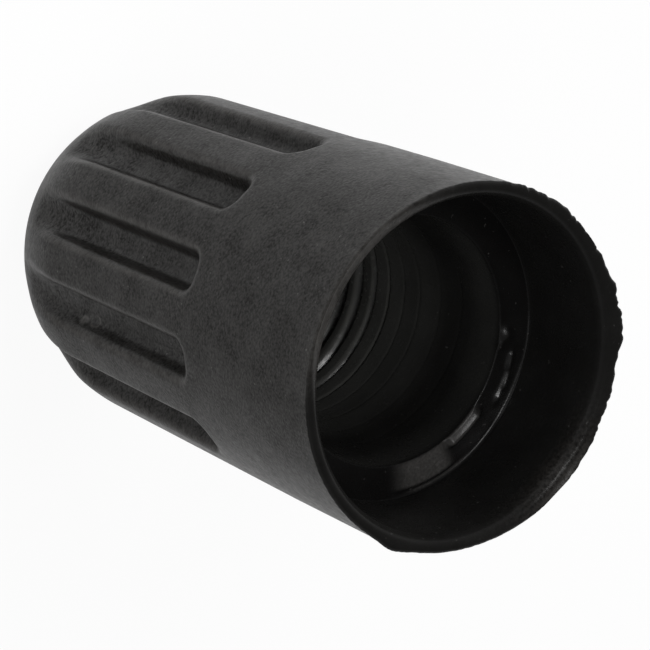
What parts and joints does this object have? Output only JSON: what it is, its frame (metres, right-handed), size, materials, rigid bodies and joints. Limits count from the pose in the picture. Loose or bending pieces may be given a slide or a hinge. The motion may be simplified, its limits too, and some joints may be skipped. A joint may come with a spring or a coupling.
{
  "type": "tyre valve cap",
  "caption": "Moulded black plastic cap for a tyre valve stem: tapered body with finger flutes, plain skirt and a blind threaded bore.",
  "frame": {"origin": "centre of the flat foot on the closed end", "axes": "+Z along the cap's axis, from the closed end out of the open mouth; X and Y through flutes"},
  "size_m": [0.0116, 0.0116, 0.0189],
  "materials": {
    "cap_plastic": "satin black, fine moulded grain outside and glossier inside"
  },
  "bodies": {
    "root": {"valve_cap": "cap_plastic"}
  },
  "joints": []
}
